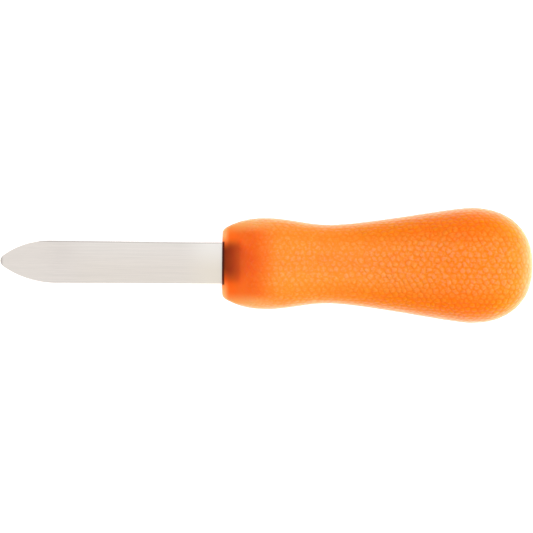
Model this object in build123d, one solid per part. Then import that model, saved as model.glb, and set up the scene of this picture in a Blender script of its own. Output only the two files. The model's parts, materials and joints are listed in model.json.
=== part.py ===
from build123d import *
import os
from math import atan2, cos, degrees, pi, sin

# The knife is drawn along X with the front face of the handle at zero, the blade towards -X,
# its width along Y and its thickness along Z. At the end it is laid down on its swell and bulb.

# Blade outline
blade_length = 69.8
point_width = 13.4
heel_width = 13.0
tip_round = 2.2
tip_offset = 0.2
upper_point_length = 15.4
lower_point_length = 17.4

# Blade thickness: full stock at the heel, ground thinner to the point and thinnest at the tip
stock_thickness = 2.6
point_thickness = 1.9
tip_thickness = 1.0
grind_start = 1.2
edge_land = 0.9
edge_bevel_angle = 22.0

# Tang: as wide as the heel at first, then a narrow stick with two keying holes
shoulder_depth = 5.4
stick_width = 8.0
tang_length = 62.0
key_hole_diameter = 4.2
first_key_place = 22.0
second_key_place = 46.0
tang_clearance = 0.08

# Mouth of the handle: a narrow moat round the blade
mouth_gap = 0.3
mouth_depth = 1.0

# Handle at its nose, swell, waist and butt bulb: places along it, widths and heights
handle_length = 96.6
nose_width = 21.2
nose_height = 5.8
nose_edge_round = 0.8
swell_place = 14.2
swell_width = 28.6
crest_height = 23.7
waist_place = 33.7
waist_width = 24.6
waist_height = 20.9
bulb_place = 77.0
bulb_width = 36.0
bulb_height = 30.4

# The top and underside crest a little behind the widest part of the swell
crest_share = 0.20

# How full each quarter of the oval section is: an even ellipse lies at 0.5523
oval_fullness_share = 0.5523
nose_fullness_share = 0.82

# How each change of size along the grip leaves one end and arrives at the other: a low first
# exponent leaves at once, and a high second one arrives early
nose_width_exponents = (1.0, 2.4)
nose_height_exponents = (2.1, 3.4)
nose_fullness_exponents = (2.0, 1.5)
throat_exponents = (1.8, 2.3)
rear_exponents = (1.45, 1.3)

# Butt dome: a quarter of a superellipse
dome_exponent = 2.28

# Stations of the skin in each zone
nose_steps = 10
throat_steps = 6
rear_steps = 14
dome_steps = 8


def side_arc(side, side_length):
    """Arc that leaves one side of the blade along it and runs tangent into the round of the tip."""
    tip_centre = Vector(tip_round - blade_length, tip_offset)
    side_end = Vector(side_length - blade_length, side * point_width / 2)
    reach = side_end.X - tip_centre.X
    rise = side * (side_end.Y - tip_centre.Y)
    radius = (reach**2 + rise**2 - tip_round**2) / (2 * (rise - tip_round))
    centre = side_end - Vector(0, side * radius)
    tip_end = centre + (tip_centre - centre).normalized() * radius
    middle = centre + ((side_end + tip_end) / 2 - centre).normalized() * radius
    return ThreePointArc(side_end, middle, tip_end)


def blade_plan():
    """Outline of the blade from above, with its spear point."""
    upper_arc = side_arc(1, upper_point_length)
    lower_arc = side_arc(-1, lower_point_length)
    tip_arc = ThreePointArc(upper_arc @ 1, Vector(-blade_length, tip_offset), lower_arc @ 1)
    heel_corners = ((mouth_depth, -heel_width / 2), (mouth_depth, heel_width / 2))
    sides = Polyline(lower_arc @ 0, *heel_corners, upper_arc @ 0)
    return make_face(upper_arc.edges() + tip_arc.edges() + lower_arc.edges() + sides.edges())


def blade_profile():
    """Outline of the blade from the side: the full stock, then the two tapers of the grind."""
    stations = (
        (mouth_depth, stock_thickness),
        (-grind_start, stock_thickness),
        (lower_point_length - blade_length, point_thickness),
        (-blade_length, tip_thickness),
    )
    upper = [(place, thickness / 2) for place, thickness in stations]
    lower = [(place, -height) for place, height in reversed(upper)]
    return make_face(Plane.XZ * Polyline(*upper, *lower, close=True))


def ground_blade():
    """Blade without its tang: plan and side profile crossed, the edges bevelled beyond a land."""
    middle = extrude(blade_plan(), edge_land / 2, both=True)
    bevel_rise = (stock_thickness - edge_land) / 2
    upper = extrude(Pos(Z=edge_land / 2) * blade_plan(), bevel_rise, taper=edge_bevel_angle)
    blank = middle + upper + mirror(upper, about=Plane.XY)
    return blank & extrude(blade_profile(), point_width, both=True)


def tang_plan():
    """Outline of the tang from above: wide shoulders, ogee steps to the stick, keying holes."""
    ogee_round = (heel_width - stick_width) / 4
    stick_end = tang_length - stick_width / 2
    edges = Line((mouth_depth, -heel_width / 2), (mouth_depth, heel_width / 2)).edges()
    for side in (1, -1):
        shoulder_end = (shoulder_depth - ogee_round, side * heel_width / 2)
        step = (shoulder_depth, side * (heel_width / 2 - ogee_round))
        stick_start = (shoulder_depth + ogee_round, side * stick_width / 2)
        edges += Line((mouth_depth, side * heel_width / 2), shoulder_end).edges()
        edges += TangentArc(shoulder_end, step, tangent=(1, 0)).edges()
        edges += TangentArc(step, stick_start, tangent=(0, -side)).edges()
        edges += Line(stick_start, (stick_end, side * stick_width / 2)).edges()
    stick_corners = [(stick_end, side * stick_width / 2) for side in (1, -1)]
    edges += ThreePointArc(stick_corners[0], (tang_length, 0), stick_corners[1]).edges()
    key_hole = Circle(key_hole_diameter / 2)
    return make_face(edges) - Pos(X=first_key_place) * key_hole - Pos(X=second_key_place) * key_hole


def oval(place, width, height, fullness):
    """Closed section of the handle, made of four quarter curves."""
    corners = ((width / 2, 0), (0, height / 2), (-width / 2, 0), (0, -height / 2))
    edges = []
    for start, end in zip(corners, corners[1:] + corners[:1]):
        leave = (start[0] + fullness * end[0], start[1] + fullness * end[1])
        arrive = (end[0] + fullness * start[0], end[1] + fullness * start[1])
        edges.append(Edge.make_bezier(*[(place, y, z) for y, z in (start, leave, arrive, end)]))
    return Wire(edges)


def between(first, last, share):
    """Value a share of the way from the first to the last."""
    return first + share * (last - first)


def eased(place, first, last, sizes, exponents):
    """Size at a place between two others, where it changes gently from one size to the next."""
    way = min((place - first) / (last - first), 1)
    return between(*sizes, 1 - (1 - way ** exponents[0]) ** exponents[1])


def grip_oval(place):
    """Section of the grip between its front face and the widest part of the bulb."""
    crest_place = between(swell_place, waist_place, crest_share)
    if place < swell_place:
        width = eased(place, 0, swell_place, (nose_width, swell_width), nose_width_exponents)
    elif place < waist_place:
        width = eased(place, swell_place, waist_place, (swell_width, waist_width), throat_exponents)
    else:
        width = eased(place, waist_place, bulb_place, (waist_width, bulb_width), rear_exponents)
    if place < crest_place:
        height = eased(place, 0, crest_place, (nose_height, crest_height), nose_height_exponents)
    elif place < waist_place:
        height = eased(place, crest_place, waist_place, (crest_height, waist_height), throat_exponents)
    else:
        height = eased(place, waist_place, bulb_place, (waist_height, bulb_height), rear_exponents)
    fullness_shares = (nose_fullness_share, oval_fullness_share)
    fullness = eased(place, 0, swell_place, fullness_shares, nose_fullness_exponents)
    return oval(place, width, height, fullness)


def dome_oval(angle):
    """Section of the butt dome at an angle from the bulb's widest part towards the pole."""
    place = between(bulb_place, handle_length, sin(angle) ** (2 / dome_exponent))
    girth_share = cos(angle) ** (2 / dome_exponent)
    return oval(place, bulb_width * girth_share, bulb_height * girth_share, oval_fullness_share)


def moulded_grip():
    """Outside of the handle, skinned over its sections, with the front edge rounded over."""
    zones = (
        (0, swell_place, nose_steps),
        (swell_place, waist_place, throat_steps),
        (waist_place, bulb_place, rear_steps),
    )
    sections = []
    for first, last, steps in zones:
        sections += [grip_oval(between(first, last, step / steps)) for step in range(steps)]
    sections += [dome_oval(pi / 2 * step / dome_steps) for step in range(dome_steps)]
    skin = Solid.make_loft(sections + [Vertex(handle_length, 0, 0)], ruled=True)
    return fillet(skin.edges().group_by(Axis.X)[0], nose_edge_round)


def blade():
    """Blade and tang in one piece of steel."""
    return ground_blade() + extrude(tang_plan(), stock_thickness / 2, both=True)


def handle():
    """Grip moulded round the tang: the plastic fills the keying holes and stands off at the mouth."""
    pocket = extrude(offset(tang_plan(), tang_clearance), stock_thickness / 2 + tang_clearance, both=True)
    moat = Box(2 * mouth_depth, heel_width + 2 * mouth_gap, stock_thickness + 2 * mouth_gap)
    return moulded_grip() - pocket - moat


def lay_down(pieces):
    """Rest the knife on its crest and bulb, centred over the origin."""
    crest_place = between(swell_place, waist_place, crest_share)
    rise = (bulb_height - crest_height) / 2
    lean = Rot(Y=-degrees(atan2(rise, bulb_place - crest_place)))
    leaned = [lean * piece for piece in pieces]
    box = Compound(leaned).bounding_box()
    seat = Pos(-box.center().X, -box.center().Y, -box.min.Z)
    return [seat * piece for piece in leaned]


os.makedirs("parts", exist_ok=True)
for name, piece in zip(("blade", "handle"), lay_down([blade(), handle()])):
    export_step(piece, f"parts/{name}.step")
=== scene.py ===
import json
from math import radians

import bpy
import numpy as np
from mathutils import Matrix, Vector
from mathutils.kdtree import KDTree


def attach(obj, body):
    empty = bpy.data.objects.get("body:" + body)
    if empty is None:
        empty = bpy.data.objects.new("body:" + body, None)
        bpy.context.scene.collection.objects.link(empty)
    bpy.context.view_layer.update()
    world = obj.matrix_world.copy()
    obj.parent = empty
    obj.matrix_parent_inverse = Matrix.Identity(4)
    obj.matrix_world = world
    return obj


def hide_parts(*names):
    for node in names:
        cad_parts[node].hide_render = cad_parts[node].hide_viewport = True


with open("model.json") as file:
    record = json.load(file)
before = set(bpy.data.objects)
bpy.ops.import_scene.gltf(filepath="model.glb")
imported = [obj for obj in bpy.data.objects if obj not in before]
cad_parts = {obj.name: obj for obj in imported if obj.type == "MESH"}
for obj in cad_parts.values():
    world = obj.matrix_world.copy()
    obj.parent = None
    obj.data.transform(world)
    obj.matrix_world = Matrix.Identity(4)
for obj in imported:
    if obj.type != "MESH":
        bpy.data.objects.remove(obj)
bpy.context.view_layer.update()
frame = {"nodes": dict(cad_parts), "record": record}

# The knife's own sizes are in millimetres: its handle's front face is at zero, the blade lies
# towards -X, its width along Y and its thickness along Z. A run is a pair of places along it.
MM = 0.001

# Blade and the mouth of the handle round it
heel_width = 13.0
stock_thickness = 2.6
point_width = 13.4
blade_length = 69.8
lower_point_length = 17.4
mouth_gap = 0.3
mouth_depth = 1.0
mouth_edge_round = 0.12
mouth_corner_exponent = 10.0

# Tang inside the handle
shoulder_depth = 5.4
stick_width = 8.0
tang_length = 62.0

# Handle at its nose, swell, waist and butt bulb
handle_length = 96.6
nose_width = 21.2
nose_height = 5.8
swell_place = 14.2
swell_width = 28.6
crest_place = 18.1
crest_height = 23.7
waist_place = 33.7
waist_width = 24.6
waist_height = 20.9
bulb_place = 77.0
bulb_width = 36.0
bulb_height = 30.4
oval_fullness = 0.5523
nose_fullness = 0.82
dome_exponent = 2.28

# How each change of size along the grip leaves one end and arrives at the other
nose_width_exponents = (1.0, 2.4)
nose_height_exponents = (2.1, 3.4)
nose_fullness_exponents = (2.0, 1.5)
throat_exponents = (1.8, 2.3)
rear_exponents = (1.45, 1.3)

# Rounding of the front edge: larger at the sides, and felt less and less along the skin
nose_edge_round = 0.8
nose_side_round = 2.4
nose_side_exponent = 4
rounding_fade_length = 2 * nose_edge_round
rounding_end_place = 6 * nose_edge_round

# Skin of the grip: rings along it, and steps in each quarter of a ring
skin_rings = 306
quarter_steps = 75
lip_steps = 6
face_steps = 3
grip_run_steps = 1600
fine_steps = 400

# Moulded pebbles: uneven cushions in close-packed rows that run along the grip, with narrow
# valleys between them
pebble_pitch = 1.94
pebble_row_share = 0.866
valley_half_width = 0.45
pebble_height = 0.10
pebble_crowning_share = 0.5
pebble_height_spread = 0.4
pebble_stray = 0.32
pebble_seed = 3

# Where the pebbles begin, stand even and are deepest, and how they give way at the parting line
pebble_first_place = 3.0
pebble_even_place = 11.0
pebble_even_share = 0.6
pebble_deepening_place = 30.0
pebble_full_place = 62.0
pebble_parting_gap = 0.6
pebble_parting_share = 0.6
pebble_parting_rises = (0.35, 0.06)

# How the pebbles on the butt's dome are pushed apart
settling_rounds = 40
settling_share = 0.22
settling_reach = 1.25 * pebble_pitch
settling_margin = 4 * pebble_pitch

# Shade of the steel tang in the plastic over it, painted: narrower at the mouth, with its lower
# side softer than its upper one, weaker under more plastic, and deepened at the lip as painted
# shade
tang_shade_offset = 0.35
tang_narrowing_run = (shoulder_depth - 0.8, shoulder_depth + 4.1)
tang_end_run = (tang_length - 8.0, tang_length)
mouth_narrowing = 1.0
mouth_narrowing_run = (0.0, 3.0)
mouth_shade_deepening = 0.5
mouth_shade_deepening_run = (0.0, 1.6)
lower_to_upper = (-2.0, 2.0)
shade_fade_starts = (-4.4, -2.5)
shade_fade_ends = (2.4, 1.8)
shoulder_side_fade = (-1.4, 0.5)
shoulder_growing_run = (0.0, 4.4)
shoulder_ending_run = (shoulder_depth - 0.1, shoulder_depth + 1.0)

# The same shade in red, green and blue: its strength, the plastic that fades it, the least light
# left, and what the tang's shoulders add
shade_strengths = (1.31, 1.24, 1.32)
shade_fadings = (2.7, 3.5, 3.5)
least_lights = (0.11, 0.06, 0.1)
shoulder_strengths = (0.08, 0.11, 0.02)

# Painted shadow of the gap on the front edge, where the blade goes in
gap_shadow_side_fade = (0.0, 0.45)
gap_shadow_growing_run = (0.02, 0.25)
gap_shadow_front_share = 0.4
gap_shadow_ending_run = (0.5, 1.05)
gap_shadow_colour = (0.06, 0.003, 0.0)

# Polished plastic of the nose: its middle, deeper red partly as painted shade of its slope, its
# sides with a painted glow, and its front edge with a painted highlight
polished_oranges = ((1.0, 0.145, 0.004), (1.0, 0.155, 0.006))
polished_side_glow = (1.0, 0.380, 0.095)
polished_side_fade = (8.6, 13.0)
front_edge_highlight = (1.0, 0.500, 0.190)
front_edge_run = (0.4, 2.6)
front_edge_side_fade = (4.6, 9.4)
front_edge_share = 0.9

# Pebbled plastic: tops and valleys at the swell, the bulb and the butt, the tops paler and bluer as
# painted highlight and the valleys darker as painted shade
swell_tops = ((0.97, 0.358, 0.070), (0.98, 0.376, 0.108))
bulb_tops = ((0.97, 0.285, 0.042), (0.97, 0.312, 0.085))
butt_tops = (0.97, 0.302, 0.046)
swell_valleys = (0.95, 0.290, 0.030)
bulb_valleys = (0.95, 0.230, 0.008)
butt_valleys = (0.95, 0.250, 0.010)
skin_start_run = (9.0, 19.5)
swell_to_bulb = (waist_place, bulb_place)
bulb_to_butt = (87.0, handle_length)

# Tone of each pebble, mottled, and how the mottle makes its top uneven
mottle_size = 0.7
mottle_share = 4.0
tone_span = (1.6, 3.4)
top_unevenness = 1.6
valley_to_top = (-0.1, 0.8)

# Painted shade deepening the flanks, a painted rim highlight along the parting line, and a painted
# glow at the end of the butt
flank_shade_tints = ((1.0, 0.72, 0.0), (1.0, 0.92, 0.0))
flank_shade_run = (80.0, 92.0)
flank_shading_run = (swell_place, 58.0)
flank_shading = (0.5, 1.0)
flank_shade_turn = (0.2, 0.66)
parting_rim_highlight = (0.98, 0.410, 0.110)
parting_rises = (0.62, 0.15)
parting_share = 0.58
butt_glow_orange = (1.0, 0.500, 0.200)
butt_glow_run = (91.0, handle_length)
butt_glow_share = 0.42

# Roughness of the plastic, and its fine relief, which is lower along the parting line
top_and_valley_roughness = (0.34, 0.46)
plastic_cloud_size = 14.0
plastic_grain_size = 0.35
grain_roughness = 0.12
grain_relief = 0.005
relief_rises = (0.5, 0.15)
pebble_relief = (0.44, 0.2)

# Satin steel: fine lines in broad streaks, and soft clouds
fine_line_width = 0.09
fine_line_length = 12.0
broad_line_width = 0.6
broad_line_length = 45.0
fine_line_share = 0.6
streak_span = (0.35, 0.65)
streak_steels = ((0.695, 0.650, 0.612), (0.81, 0.757, 0.717))
cloud_steel = (0.68, 0.63, 0.595)
steel_cloud_size = 9.0
steel_cloud_share = 0.25
streak_roughness_span = (0.3, 0.7)
steel_roughness = (0.34, 0.46)

# Satin steel: its paler point, and its heel, paler towards the handle as painted light from that
# side, and warmer at the lower side than at the upper
point_steel = (0.79, 0.74, 0.69)
point_run = (10.0 - blade_length, 22.0 - blade_length)
point_share = 0.5
heel_steels = ((0.81, 0.750, 0.660), (0.89, 0.860, 0.820))
heel_turn = (-3.0, 6.0)
middle_to_heel_run = (-52.0, -40.0)
middle_to_heel_share = 0.3
heel_run = (-14.0, -3.0)
heel_share = 0.6

# Shaded line along the blade's edges, weaker at the lower side, and round its tip
edge_steel = (0.38, 0.355, 0.34)
edge_shade_width = (0.6, 0.2)
lower_to_upper_edge = (-1.0, 1.0)
edge_shade_shares = (0.35, 0.8)
tip_run = (1.1 - blade_length, -blade_length)
tip_shade_share = 0.7

# Studio, in metres
surroundings_light = 0.76
floor_half_size = 1.5
floor_drop = 0.02 * MM
floor_glow = 0.6

# Photograph: the width of object that it covers, and what its centre looks at
photo_width = 166.4
view_centre_along = 13.8
view_centre_across = -0.9
view_roll = 0.5
camera_height = 900.0
sensor_width = 36.0


def knife_frame():
    """Matrix from the knife's own millimetres to the frame's metres."""
    grip = next(mount for mount in frame["record"]["mounts"] if mount["name"] == "grip")
    along = Vector(grip["axis"]).normalized()
    across = Vector((0, 1, 0))
    rise = along.cross(across)
    front = Vector(grip["pos_m"]) - along * waist_place * MM
    turn = Matrix((along, across, rise)).transposed().to_4x4()
    return Matrix.Translation(front) @ turn @ Matrix.Scale(MM, 4)


def eased(places, first, last, sizes, exponents):
    """Sizes at places between two others, where they change gently from one to the next."""
    way = np.clip((places - first) / (last - first), 0, 1)
    return sizes[0] + (sizes[1] - sizes[0]) * (1 - (1 - way ** exponents[0]) ** exponents[1])


def grip_sizes(places):
    """Half width, half height and fullness of the grip, from its nose to the bulb's widest part."""
    nose = eased(places, 0, swell_place, (nose_width, swell_width), nose_width_exponents)
    throat = eased(places, swell_place, waist_place, (swell_width, waist_width), throat_exponents)
    rear = eased(places, waist_place, bulb_place, (waist_width, bulb_width), rear_exponents)
    width = np.where(places < swell_place, nose, np.where(places < waist_place, throat, rear))
    nose = eased(places, 0, crest_place, (nose_height, crest_height), nose_height_exponents)
    throat = eased(places, crest_place, waist_place, (crest_height, waist_height), throat_exponents)
    rear = eased(places, waist_place, bulb_place, (waist_height, bulb_height), rear_exponents)
    height = np.where(places < crest_place, nose, np.where(places < waist_place, throat, rear))
    fullnesses = (nose_fullness, oval_fullness)
    fullness = eased(places, 0, swell_place, fullnesses, nose_fullness_exponents)
    return np.stack([width / 2, height / 2, fullness], axis=-1)


def skin_stations():
    """The skin's rings, evenly spaced over it.

    For each its distance over the skin, and its place, half width, half height and fullness.
    """
    places = np.linspace(0, bulb_place, grip_run_steps, endpoint=False)
    grip = np.column_stack([places, grip_sizes(places)])
    angles = np.linspace(0, np.pi / 2, fine_steps)
    girth = np.cos(angles) ** (2 / dome_exponent)
    reach = np.sin(angles) ** (2 / dome_exponent)
    dome = np.column_stack([
        bulb_place + (handle_length - bulb_place) * reach,
        bulb_width / 2 * girth,
        bulb_height / 2 * girth,
        np.full(fine_steps, oval_fullness),
    ])
    stations = np.vstack([grip, dome])
    steps = np.diff(stations[:, :3], axis=0)
    strides = np.sqrt(steps[:, 0] ** 2 + (steps[:, 1] ** 2 + steps[:, 2] ** 2) / 2)
    path = np.concatenate([[0], np.cumsum(strides)])
    even = np.linspace(0, path[-1], skin_rings + 1)[:-1]
    return even, np.column_stack([np.interp(even, path, column) for column in stations.T])


def oval_quarter(half_width, half_height, fullness, shares):
    """Points at shares of a quarter of a section, from its side to its top, and its length."""
    t = np.linspace(0, 1, fine_steps)
    near = (1 - t) ** 3 + 3 * (1 - t) ** 2 * t + 3 * fullness * (1 - t) * t ** 2
    far = t ** 3 + 3 * (1 - t) * t ** 2 + 3 * fullness * (1 - t) ** 2 * t
    curve = np.stack([half_width * near, half_height * far])
    length = np.concatenate([[0], np.cumsum(np.hypot(*np.diff(curve)))])
    points = np.stack([np.interp(shares * length[-1], length, line) for line in curve])
    return points, length[-1]


def oval_ring(half_width, half_height, fullness):
    """A whole section as points across and up, anticlockwise from its side."""
    shares = np.linspace(0, 1, quarter_steps + 1)
    (across, up), _ = oval_quarter(half_width, half_height, fullness, shares)
    quarters = [
        (across[:-1], up[:-1]),
        (-across[:0:-1], up[:0:-1]),
        (-across[:-1], -up[:-1]),
        (across[:0:-1], -up[:0:-1]),
    ]
    return np.column_stack([np.concatenate(parts) for parts in zip(*quarters)])


def ring_at(place, points):
    """A ring's points, across and up, set at its place along the knife."""
    return np.column_stack([np.broadcast_to(place, len(points)), points])


def leaning_ring(places):
    """A ring whose points lie at different places along the knife."""
    sizes = grip_sizes(places)
    ring = np.empty((len(places), 3))
    for index, (place, section) in enumerate(zip(places, sizes)):
        ring[index] = place, *oval_ring(*section)[index]
    return ring


def lip_and_skin_rings(stations):
    """Rings of the front edge's rounding, and those of the outside, which it leads into."""
    front = oval_ring(*stations[0, 1:])
    slope = (oval_ring(*grip_sizes(np.array(nose_edge_round))) - front) / nose_edge_round
    outward = np.roll(front, -1, axis=0) - np.roll(front, 1, axis=0)
    outward = np.column_stack([outward[:, 1], -outward[:, 0]])
    outward /= np.linalg.norm(outward, axis=1, keepdims=True)
    lean = np.arctan((slope * outward).sum(axis=1))
    to_side = (2 * np.abs(front[:, 0]) / nose_width) ** nose_side_exponent
    rounds = nose_edge_round + (nose_side_round - nose_edge_round) * to_side
    reach = rounds * np.tan((np.pi / 2 - lean) / 2)
    inner = ring_at(0, front - outward * reach[:, None])
    corner = ring_at(0, front)
    rings = []
    for place, *section in stations:
        if place > rounding_end_place:
            rings.append(ring_at(place, oval_ring(*section)))
        else:
            rings.append(leaning_ring(place + reach * np.exp(-place / rounding_fade_length)))
    lip = []
    for share in np.linspace(0, 1, lip_steps, endpoint=False):
        eased_in = (1 - share) ** 2 * inner + 2 * share * (1 - share) * corner
        lip.append(eased_in + share ** 2 * rings[0])
    return lip, rings


def mouth_rings(lip_ring):
    """Rings of the front face, the recess round the blade and its floor, from the inside out."""
    half = np.array([heel_width / 2 + mouth_gap, stock_thickness / 2 + mouth_gap])
    points = lip_ring[:, 1:]
    powers = (np.abs(points / half) ** mouth_corner_exponent).sum(axis=1)
    edge = points / (powers ** (1 / mouth_corner_exponent))[:, None]
    nearness = np.abs(edge / half) ** mouth_corner_exponent
    grown = edge + np.sign(edge) * mouth_edge_round * nearness
    steel = edge * (half - 2 * mouth_gap) / half
    rings = [ring_at(mouth_depth, steel), ring_at(mouth_depth, edge)]
    rings.append(ring_at(mouth_edge_round, edge))
    rings.append(ring_at(0, grown))
    for share in np.linspace(0, 1, face_steps + 1)[1:-1]:
        rings.append(ring_at(0, grown + share * (points - grown)))
    return rings


def onto_dome(points):
    """Points brought back onto the bulb and its dome."""
    x, y, z = points.T
    behind = x > bulb_place
    sizes = grip_sizes(np.minimum(x, bulb_place))
    oval = np.hypot(y / sizes[:, 0], z / sizes[:, 1])
    reach = np.where(behind, (x - bulb_place) / (handle_length - bulb_place), 0)
    norm = (reach ** dome_exponent + oval ** dome_exponent) ** (1 / dome_exponent)
    along = np.where(behind, bulb_place + (x - bulb_place) / norm, x)
    return np.column_stack([along, y / norm, z / norm])


def pebble_centres(path, stations):
    """Middles of the pebbles, in rows at even distances from the top and bottom centre lines."""
    row_pitch = pebble_pitch * pebble_row_share
    centres = []
    row_count = int(np.ceil(np.pi * bulb_width / 4 / row_pitch))
    for row in range(-row_count, row_count + 1):
        side = 1 if row >= 0 else -1
        shift = row % 2 / 2
        for step in range(int(path[-1] / pebble_pitch) + 1):
            way = (step + shift) * pebble_pitch
            place, *section = [np.interp(way, path, column) for column in stations.T]
            if place < pebble_first_place:
                continue
            _, quarter = oval_quarter(*section, np.array([0.0]))
            from_side = quarter - abs(row) * row_pitch
            if from_side < pebble_parting_gap:
                continue
            (across, up), _ = oval_quarter(*section, np.array([from_side / quarter]))
            centres.append((place, side * across[0], up[0]))
            centres.append((place, side * across[0], -up[0]))
    return np.array(centres)


def settled(centres):
    """The pebbles on the butt's dome pushed apart until they lie evenly."""
    near = centres[:, 0] > bulb_place - settling_margin
    free = centres[:, 0] > bulb_place
    rest, crowd = centres[~near], centres[near]
    moves = free[near]
    for _ in range(settling_rounds):
        away = crowd[:, None] - crowd[None]
        distance = np.linalg.norm(away, axis=2)
        np.fill_diagonal(distance, np.inf)
        push = np.clip(1 - distance / settling_reach, 0, None) / distance
        shift = settling_share * settling_reach * (push[:, :, None] * away).sum(axis=1)
        crowd = np.where(moves[:, None], onto_dome(crowd + shift), crowd)
    return np.vstack([rest, crowd])


def smooth_share(values, first, last):
    """Share from nought at the first value to one at the last, eased at both ends."""
    share = np.clip((values - first) / (last - first), 0, 1)
    return share * share * (3 - 2 * share)


def pebble_crowns_and_tones(points, centres):
    """How high each point stands, from nought in a valley to about one on a top, and its tone."""
    chance = np.random.RandomState(pebble_seed)
    centres = centres + chance.normal(0, pebble_stray, centres.shape)
    heights = 1 - pebble_height_spread * chance.uniform(0, 1, len(centres))
    tones = chance.uniform(0, 1, len(centres))
    tree = KDTree(len(centres))
    for index, centre in enumerate(centres):
        tree.insert(centre, index)
    tree.balance()
    pairs = [tree.find_n(point, 2) for point in points]
    own, other = np.array([[found[1] for found in pair] for pair in pairs]).T
    near, far = np.array([[found[2] for found in pair] for pair in pairs]).T
    apart = np.linalg.norm(centres[own] - centres[other], axis=1)
    to_valley = (far ** 2 - near ** 2) / (2 * apart)
    bank = smooth_share(to_valley, 0, valley_half_width)
    crowning = 1 - pebble_crowning_share * (2 * near / pebble_pitch) ** 2
    return bank * crowning * heights[own], tones[own]


def share_of_pebbles(points, rise):
    """How far the pebbles are raised at each point: not at the nose, less at the parting line."""
    places = points[:, 0]
    even = smooth_share(places, pebble_first_place, pebble_even_place)
    full = smooth_share(places, pebble_deepening_place, pebble_full_place)
    raised = pebble_even_share * even + (1 - pebble_even_share) * full
    return raised * (1 - (1 - pebble_parting_share) * smooth_share(rise, *pebble_parting_rises))


def outward_normals(rings):
    """Directions straight out of the skin at each point of its rings."""
    run_along = np.gradient(rings, axis=0)
    run_around = np.roll(rings, -1, axis=1) - np.roll(rings, 1, axis=1)
    normals = np.cross(run_around, run_along)
    return normals / np.linalg.norm(normals, axis=2, keepdims=True)


def grip_faces(ring_count, around):
    """Faces between the rings, and the two fans that close the mouth's floor and the butt."""
    faces = []
    for ring in range(ring_count - 1):
        low, high = ring * around, (ring + 1) * around
        for step in range(around):
            after = (step + 1) % around
            faces.append((low + step, low + after, high + after, high + step))
    last = (ring_count - 1) * around
    floor_middle = ring_count * around
    pole = floor_middle + 1
    for step in range(around):
        after = (step + 1) % around
        faces.append((floor_middle, after, step))
        faces.append((last + step, last + after, pole))
    return faces


def mesh_object(name, points, faces, material):
    """Smooth mesh in the frame from points in the knife's own millimetres."""
    mesh = bpy.data.meshes.new(name)
    mesh.from_pydata(points.tolist(), [], faces)
    mesh.transform(knife_frame())
    mesh.shade_smooth()
    mesh.materials.append(material)
    piece = bpy.data.objects.new(name, mesh)
    bpy.context.scene.collection.objects.link(piece)
    return piece


def moulded_grip(material):
    """The grip with its pebbled skin, its rounded front edge and the mouth round the blade."""
    path, stations = skin_stations()
    lip, skin = lip_and_skin_rings(stations)
    mouth = mouth_rings(lip[0])
    rings = np.array(mouth + lip + skin)
    ring_count, around = rings.shape[:2]
    normals = outward_normals(rings).reshape(-1, 3)

    points = rings.reshape(-1, 3)
    half_heights = grip_sizes(np.clip(points[:, 0], 0, bulb_place))[:, 1]
    rise = np.abs(points[:, 2]) / half_heights
    raised = share_of_pebbles(points, rise)
    raised[: (len(mouth) + len(lip)) * around] = 0
    centres = settled(pebble_centres(path, stations))
    crown, tone = pebble_crowns_and_tones(points, centres)
    sunk = normals * ((crown - 1) * raised * pebble_height)[:, None]
    floor_middle = (mouth_depth, 0, 0)
    pole = (handle_length - pebble_height, 0, 0)
    points = np.vstack([points + sunk, [floor_middle, pole]])
    grip = mesh_object("moulded_grip", points, grip_faces(ring_count, around), material)

    # What the plastic reads at each point, with its values at the floor's middle and the pole
    readings = (
        ("pebble_crown", crown * raised, (0, 1)),
        ("pebble_share", raised, (0, 1)),
        ("pebble_tone", tone, (0, 1)),
        ("sideways", np.abs(normals[:, 1]), (0, 0)),
        ("rise", rise, (0, 0)),
    )
    for name, values, at_middles in readings:
        reading = grip.data.attributes.new(name, "FLOAT", "POINT")
        reading.data.foreach_set("value", np.append(values, at_middles).astype(np.float32))
    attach(grip, "root")
    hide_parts("handle")


def new_material(name):
    """A material with its Principled shader, ready for nodes."""
    material = bpy.data.materials.new(name)
    material.use_nodes = True
    tree = material.node_tree
    return material, tree, tree.nodes["Principled BSDF"]


def feed(tree, socket, value):
    """Links a socket to an input, or sets the input to a plain value."""
    if isinstance(value, bpy.types.NodeSocket):
        tree.links.new(value, socket)
    else:
        socket.default_value = value


def math_node(tree, operation, *values):
    """A Math node; each value is a number or the socket that feeds it."""
    node = tree.nodes.new("ShaderNodeMath")
    node.operation = operation
    for socket, value in zip(node.inputs, values):
        feed(tree, socket, value)
    return node.outputs[0]


def plus(tree, first, second):
    """Sum of two values."""
    return math_node(tree, "ADD", first, second)


def minus(tree, first, second):
    """First value less the second."""
    return math_node(tree, "SUBTRACT", first, second)


def times(tree, first, second):
    """Product of two values."""
    return math_node(tree, "MULTIPLY", first, second)


def unsigned(tree, value):
    """A value without its sign."""
    return math_node(tree, "ABSOLUTE", value)


def ramp_share(tree, value, span, ends=(0.0, 1.0)):
    """A smooth step from one end to the other while a value goes over a span."""
    node = tree.nodes.new("ShaderNodeMapRange")
    node.interpolation_type = "SMOOTHSTEP"
    labels = ("Value", "From Min", "From Max", "To Min", "To Max")
    for label, number in zip(labels, (value, *span, *ends)):
        feed(tree, node.inputs[label], number)
    return node.outputs["Result"]


def fading(tree, value, span, start=1.0):
    """A smooth step down to nought while a value goes over a span."""
    return ramp_share(tree, value, span, (start, 0.0))


def blended(tree, share, first, second, mode="MIX"):
    """Two colours mixed by a share; each is a socket, or its red, green and blue."""
    node = tree.nodes.new("ShaderNodeMix")
    node.data_type = "RGBA"
    node.blend_type = mode
    feed(tree, node.inputs["Factor"], share)
    for socket, colour in zip(node.inputs[6:8], (first, second)):
        feed(tree, socket, (*colour, 1) if isinstance(colour, tuple) else colour)
    return node.outputs[2]


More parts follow.
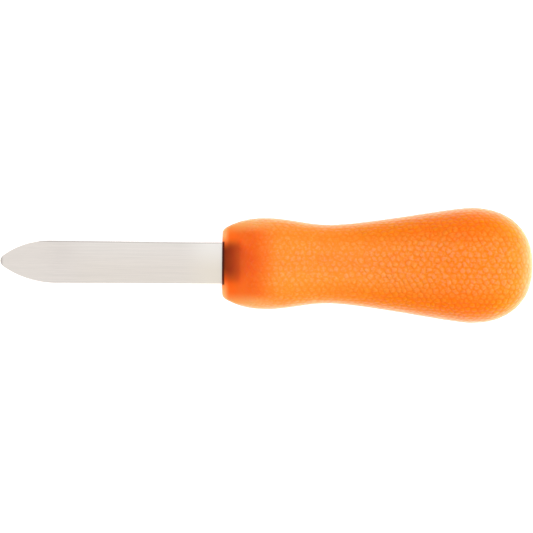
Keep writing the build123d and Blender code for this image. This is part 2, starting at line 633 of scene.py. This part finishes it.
def bump_normal(tree, height, strength, distance):
    """Normal of a fine relief of the given height."""
    bump = tree.nodes.new("ShaderNodeBump")
    bump.inputs["Strength"].default_value = strength
    bump.inputs["Distance"].default_value = distance
    feed(tree, bump.inputs["Height"], height)
    return bump.outputs["Normal"]


def reading_of(tree, name):
    """A number stored on the mesh's points."""
    node = tree.nodes.new("ShaderNodeAttribute")
    node.attribute_name = name
    return node.outputs["Fac"]


def group(name, inputs, output, kind):
    """An empty node group with named number inputs and one named output."""
    tree = bpy.data.node_groups.new(name, "ShaderNodeTree")
    for label, number in inputs.items():
        socket = tree.interface.new_socket(
            name=label, in_out="INPUT", socket_type="NodeSocketFloat"
        )
        socket.default_value = number
    tree.interface.new_socket(name=output, in_out="OUTPUT", socket_type=kind)
    given = tree.nodes.new("NodeGroupInput")
    made = tree.nodes.new("NodeGroupOutput")
    return tree, given.outputs, made.inputs[output]


def placed(tree, node_group, **values):
    """The output of a group that is placed in a material with its own values."""
    node = tree.nodes.new("ShaderNodeGroup")
    node.node_tree = node_group
    for label, value in values.items():
        feed(tree, node.inputs[label], value)
    return node.outputs[0]


def knife_places_group():
    """Place on the knife in its own millimetres: along it, across it and up."""
    tree, _, made = group("Knife places", {}, "Place", "NodeSocketVector")
    coordinates = tree.nodes.new("ShaderNodeTexCoord")
    turned = tree.nodes.new("ShaderNodeMapping")
    turned.vector_type = "POINT"
    inverse = knife_frame().inverted()
    turned.inputs["Location"].default_value = inverse.to_translation()
    turned.inputs["Rotation"].default_value = inverse.to_euler()
    turned.inputs["Scale"].default_value = inverse.to_scale()
    tree.links.new(coordinates.outputs["Object"], turned.inputs["Vector"])
    tree.links.new(turned.outputs["Vector"], made)
    return tree


def knife_place(tree, places):
    """Places along, across and up the knife, as three sockets."""
    split = tree.nodes.new("ShaderNodeSeparateXYZ")
    tree.links.new(placed(tree, places), split.inputs[0])
    return split.outputs


def noise_value(tree, vector, detail):
    """Even noise about one half, a unit of its vector to each lump."""
    noise = tree.nodes.new("ShaderNodeTexNoise")
    noise.inputs["Scale"].default_value = 1.0
    feed(tree, noise.inputs["Vector"], vector)
    feed(tree, noise.inputs["Detail"], detail)
    return noise.outputs["Fac"]


def drawn_grain_group(places):
    """Grain drawn out along the knife, with lines of a given width and length."""
    inputs = {"Width": 0.1, "Length": 20.0, "Detail": 4.0}
    tree, given, made = group("Drawn grain", inputs, "Value", "NodeSocketFloat")
    along, across, up = knife_place(tree, places)
    joined = tree.nodes.new("ShaderNodeCombineXYZ")
    feed(tree, joined.inputs[0], math_node(tree, "DIVIDE", along, given["Length"]))
    feed(tree, joined.inputs[1], math_node(tree, "DIVIDE", across, given["Width"]))
    feed(tree, joined.inputs[2], math_node(tree, "DIVIDE", up, given["Width"]))
    tree.links.new(noise_value(tree, joined.outputs[0], given["Detail"]), made)
    return tree


def clouds_group(places):
    """Soft even clouds of a given size."""
    inputs = {"Size": 10.0, "Detail": 2.0}
    tree, given, made = group("Clouds", inputs, "Value", "NodeSocketFloat")
    scaled = tree.nodes.new("ShaderNodeVectorMath")
    scaled.operation = "SCALE"
    feed(tree, scaled.inputs[0], placed(tree, places))
    feed(tree, scaled.inputs["Scale"], math_node(tree, "DIVIDE", 1.0, given["Size"]))
    tree.links.new(noise_value(tree, scaled.outputs[0], given["Detail"]), made)
    return tree


def light_past_tang(tree, along, across, up):
    """Share of red, green and blue light that the steel tang leaves in the plastic over it."""
    off_tang = unsigned(tree, minus(tree, across, tang_shade_offset))
    half_width = ramp_share(tree, along, tang_narrowing_run, (heel_width / 2, stick_width / 2))
    narrowing = fading(tree, along, mouth_narrowing_run, mouth_narrowing)
    half_width = minus(tree, half_width, narrowing)
    fade = [
        ramp_share(tree, across, lower_to_upper, shade_fade_starts),
        ramp_share(tree, across, lower_to_upper, shade_fade_ends),
    ]
    over_tang = fading(tree, minus(tree, off_tang, half_width), fade)
    over_tang = times(tree, over_tang, fading(tree, along, tang_end_run))

    cover = minus(tree, unsigned(tree, up), stock_thickness / 2)
    # Painted shade of the lip: the shade deepens at the mouth as if the plastic were thinner there
    cover = minus(tree, cover, fading(tree, along, mouth_shade_deepening_run, mouth_shade_deepening))
    shoulder = fading(tree, minus(tree, off_tang, heel_width / 2), shoulder_side_fade)
    shoulder = times(tree, shoulder, fading(tree, along, shoulder_ending_run))
    shoulder = times(tree, shoulder, ramp_share(tree, along, shoulder_growing_run))

    left = tree.nodes.new("ShaderNodeCombineColor")
    shades = zip(left.inputs, shade_strengths, shade_fadings, least_lights, shoulder_strengths)
    for socket, strength, fade_depth, least, added in shades:
        veil = math_node(tree, "EXPONENT", math_node(tree, "DIVIDE", cover, -fade_depth))
        veil = times(tree, times(tree, veil, strength), over_tang)
        veil = math_node(tree, "MULTIPLY_ADD", shoulder, added, veil)
        feed(tree, socket, math_node(tree, "MAXIMUM", minus(tree, 1.0, veil), least))
    return left.outputs[0]


def mouth_gap_shadow(tree, along, off_middle):
    """Mask of the painted shadow of the gap on the front edge, above and below the blade."""
    shadow_mask = fading(tree, minus(tree, off_middle, heel_width / 2), gap_shadow_side_fade)
    shadow_mask = times(tree, shadow_mask, ramp_share(tree, along, gap_shadow_growing_run, (gap_shadow_front_share, 1.0)))
    return times(tree, shadow_mask, fading(tree, along, gap_shadow_ending_run))


def polished_colour(tree, cloud, along, off_middle):
    """Colour of the polished nose, its red partly painted shade, with a painted glow at its sides
    and a painted highlight on its front edge.
    """
    polished = blended(tree, cloud, *polished_oranges)
    side = ramp_share(tree, off_middle, polished_side_fade)
    polished = blended(tree, side, polished, polished_side_glow)
    off_blade = ramp_share(tree, off_middle, front_edge_side_fade, (0.0, front_edge_share))
    front_edge = times(tree, fading(tree, along, front_edge_run), off_blade)
    return blended(tree, front_edge, polished, front_edge_highlight)


def pebbled_colour(tree, mottle, crown, rise, along):
    """Colour of the pebbled skin: tops as painted highlight, valleys and flanks as painted shade, a
    painted rim highlight at its parting line and a painted glow at its butt.
    """
    bulbward = ramp_share(tree, along, swell_to_bulb)
    buttward = ramp_share(tree, along, bulb_to_butt)
    tone = plus(tree, reading_of(tree, "pebble_tone"), times(tree, mottle, mottle_share))
    tone = ramp_share(tree, tone, tone_span)
    tops = blended(tree, tone, *swell_tops)
    tops = blended(tree, bulbward, tops, blended(tree, tone, *bulb_tops))
    tops = blended(tree, buttward, tops, butt_tops)
    valleys = blended(tree, bulbward, swell_valleys, bulb_valleys)
    valleys = blended(tree, buttward, valleys, butt_valleys)
    uneven = math_node(tree, "MULTIPLY_ADD", minus(tree, mottle, 0.5), top_unevenness, crown)
    # Painted highlight on the pebbles' tops and painted shade in their valleys
    skin = blended(tree, ramp_share(tree, uneven, valley_to_top), valleys, tops)

    # Painted shade: the flanks deepen where the skin turns sideways
    flank = ramp_share(tree, along, flank_shading_run, flank_shading)
    flank = times(tree, flank, ramp_share(tree, reading_of(tree, "sideways"), flank_shade_turn))
    tint = blended(tree, ramp_share(tree, along, flank_shade_run), *flank_shade_tints)
    skin = blended(tree, flank, skin, tint, "MULTIPLY")
    # Painted rim highlight: paler along the rounding at the parting line
    parting = ramp_share(tree, rise, parting_rises, (0.0, parting_share))
    skin = blended(tree, parting, skin, parting_rim_highlight)
    # Painted glow at the end of the butt
    butt = ramp_share(tree, along, butt_glow_run, (0.0, butt_glow_share))
    return blended(tree, butt, skin, butt_glow_orange)


def orange_plastic(places, clouds):
    """Translucent orange plastic, polished at the nose and pebbled behind it."""
    material, tree, shader = new_material("orange_plastic")
    along, across, up = knife_place(tree, places)
    off_middle = unsigned(tree, across)
    crown = reading_of(tree, "pebble_crown")
    rise = reading_of(tree, "rise")
    cloud = placed(tree, clouds, Size=plastic_cloud_size)
    grain = placed(tree, clouds, Size=plastic_grain_size, Detail=4.0)
    mottle = placed(tree, clouds, Size=mottle_size)

    polished = polished_colour(tree, cloud, along, off_middle)
    pebbled = pebbled_colour(tree, mottle, crown, rise, along)
    colour = blended(tree, ramp_share(tree, along, skin_start_run), polished, pebbled)
    past_tang = light_past_tang(tree, along, across, up)
    colour = blended(tree, 1.0, colour, past_tang, "MULTIPLY")
    # Painted shadow of the gap where the blade goes into the handle
    colour = blended(tree, mouth_gap_shadow(tree, along, off_middle), colour, gap_shadow_colour)
    feed(tree, shader.inputs["Base Color"], colour)

    depth = minus(tree, reading_of(tree, "pebble_share"), crown)
    rough = ramp_share(tree, depth, (0.0, 1.0), top_and_valley_roughness)
    rough = plus(tree, rough, times(tree, minus(tree, grain, 0.5), grain_roughness))
    feed(tree, shader.inputs["Roughness"], rough)
    relief = ramp_share(tree, rise, relief_rises, pebble_relief)
    height = math_node(tree, "MULTIPLY_ADD", crown, relief, times(tree, grain, grain_relief))
    feed(tree, shader.inputs["Normal"], bump_normal(tree, height, 1.0, MM))

    shader.inputs["Specular IOR Level"].default_value = 0.03
    shader.inputs["Coat Weight"].default_value = 1.0
    shader.inputs["Coat Roughness"].default_value = 0.35
    shader.inputs["Coat IOR"].default_value = 1.16
    shader.inputs["Sheen Weight"].default_value = 0.5
    shader.inputs["Sheen Roughness"].default_value = 0.30
    shader.inputs["Subsurface Weight"].default_value = 1.0
    shader.inputs["Subsurface Radius"].default_value = (1.0, 0.10, 0.05)
    shader.inputs["Subsurface Scale"].default_value = 1.6 * MM
    return material


def edge_shade(tree, along, across):
    """Mask of the shaded line along the blade's edges and round its tip."""
    behind_point = (lower_point_length - blade_length, 0.0)
    half_width = ramp_share(tree, along, behind_point, (point_width / 2, heel_width / 2))
    from_edge = minus(tree, half_width, unsigned(tree, across))
    side = ramp_share(tree, across, lower_to_upper_edge, edge_shade_shares)
    edges = times(tree, ramp_share(tree, from_edge, edge_shade_width), side)
    tip = ramp_share(tree, along, tip_run, (0.0, tip_shade_share))
    return math_node(tree, "MAXIMUM", edges, tip)


def satin_steel(places, grain, clouds):
    """Stainless steel ground to a satin along the blade."""
    material, tree, shader = new_material("satin_steel")
    along, across, _ = knife_place(tree, places)
    fine = placed(tree, grain, Width=fine_line_width, Length=fine_line_length)
    broad = placed(tree, grain, Width=broad_line_width, Length=broad_line_length, Detail=2.0)
    cloud = placed(tree, clouds, Size=steel_cloud_size)
    broad_lines = times(tree, broad, 1 - fine_line_share)
    streak = plus(tree, times(tree, fine, fine_line_share), broad_lines)
    streak = ramp_share(tree, streak, streak_span)

    colour = blended(tree, streak, *streak_steels)
    colour = blended(tree, times(tree, cloud, steel_cloud_share), colour, cloud_steel)
    point = fading(tree, along, point_run, point_share)
    colour = blended(tree, point, colour, point_steel)
    heel = blended(tree, ramp_share(tree, across, heel_turn), *heel_steels)
    to_heel = ramp_share(tree, along, middle_to_heel_run, (0.0, middle_to_heel_share))
    to_heel = plus(tree, to_heel, ramp_share(tree, along, heel_run, (0.0, heel_share)))
    # Painted light: the blade grows paler towards the handle
    colour = blended(tree, to_heel, colour, heel)
    colour = blended(tree, edge_shade(tree, along, across), colour, edge_steel)
    feed(tree, shader.inputs["Base Color"], colour)

    shader.inputs["Metallic"].default_value = 1.0
    rough = ramp_share(tree, streak, streak_roughness_span, steel_roughness)
    feed(tree, shader.inputs["Roughness"], rough)
    feed(tree, shader.inputs["Normal"], bump_normal(tree, fine, 0.3, 0.01 * MM))
    return material


def seen_directly(tree):
    """One where a surface is seen, mirrored or looked at through glass, else nought."""
    rays = tree.nodes.new("ShaderNodeLightPath")
    seen = math_node(tree, "MAXIMUM", rays.outputs["Is Camera Ray"], rays.outputs["Is Glossy Ray"])
    return math_node(tree, "MAXIMUM", seen, rays.outputs["Is Transmission Ray"])


def studio_floor():
    """Pale floor just under the knife, which keeps its shadow."""
    material, tree, shader = new_material("pale_floor")
    shader.inputs["Base Color"].default_value = (0.9, 0.9, 0.9, 1)
    shader.inputs["Roughness"].default_value = 0.9
    shader.inputs["Specular IOR Level"].default_value = 0.0
    shader.inputs["Emission Color"].default_value = (1, 1, 1, 1)
    feed(tree, shader.inputs["Emission Strength"], times(tree, seen_directly(tree), floor_glow))
    corners = [(x * floor_half_size, y * floor_half_size, 0)
               for x, y in ((-1, -1), (1, -1), (1, 1), (-1, 1))]
    mesh = bpy.data.meshes.new("floor")
    mesh.from_pydata(corners, [], [(0, 1, 2, 3)])
    mesh.materials.append(material)
    floor = bpy.data.objects.new("floor", mesh)
    floor.location.z = -floor_drop
    bpy.context.scene.collection.objects.link(floor)


def white_surroundings():
    """Surroundings that are white where they are seen, and light the knife a little less."""
    world = bpy.data.worlds.new("studio")
    bpy.context.scene.world = world
    world.use_nodes = True
    tree = world.node_tree
    sky = tree.nodes["Background"]
    sky.inputs["Color"].default_value = (1, 1, 1, 1)
    light = ramp_share(tree, seen_directly(tree), (0.0, 1.0), (surroundings_light, 1.0))
    feed(tree, sky.inputs["Strength"], light)


def lamp(name, place, size, power):
    """A square soft lamp that faces the knife and isn't mirrored by its steel."""
    light = bpy.data.lights.new(name, "AREA")
    light.size = size
    light.energy = power
    holder = bpy.data.objects.new(name, light)
    holder.location = place
    holder.rotation_mode = "QUATERNION"
    holder.rotation_quaternion = Vector(place).to_track_quat("Z", "Y")
    holder.visible_glossy = False
    bpy.context.scene.collection.objects.link(holder)


def camera():
    """Long lens straight above the knife, in the photograph's frame."""
    lens = bpy.data.cameras.new("camera")
    centre = knife_frame() @ Vector((view_centre_along, view_centre_across, 0))
    lens.sensor_width = sensor_width
    lens.lens = sensor_width * camera_height / photo_width
    lens.clip_start = 0.05
    lens.clip_end = 20.0
    holder = bpy.data.objects.new("camera", lens)
    holder.location = centre + Vector((0, 0, camera_height * MM))
    holder.rotation_euler = (0, 0, radians(view_roll))
    bpy.context.scene.collection.objects.link(holder)
    bpy.context.scene.camera = holder


bpy.context.scene.view_settings.view_transform = "Standard"
places = knife_places_group()
clouds = clouds_group(places)
moulded_grip(orange_plastic(places, clouds))
steel = satin_steel(places, drawn_grain_group(places), clouds)
for index in range(len(frame["nodes"]["blade"].material_slots)):
    frame["nodes"]["blade"].material_slots[index].material = steel
white_surroundings()
studio_floor()
lamp("top_lamp", place=(0.85, -0.05, 1.15), size=0.5, power=10.8)
lamp("butt_lamp", place=(1.75, -0.12, 0.45), size=0.9, power=9.5)
lamp("blade_lamp", place=(-1.5, 0.1, 0.5), size=0.9, power=3.8)
camera()
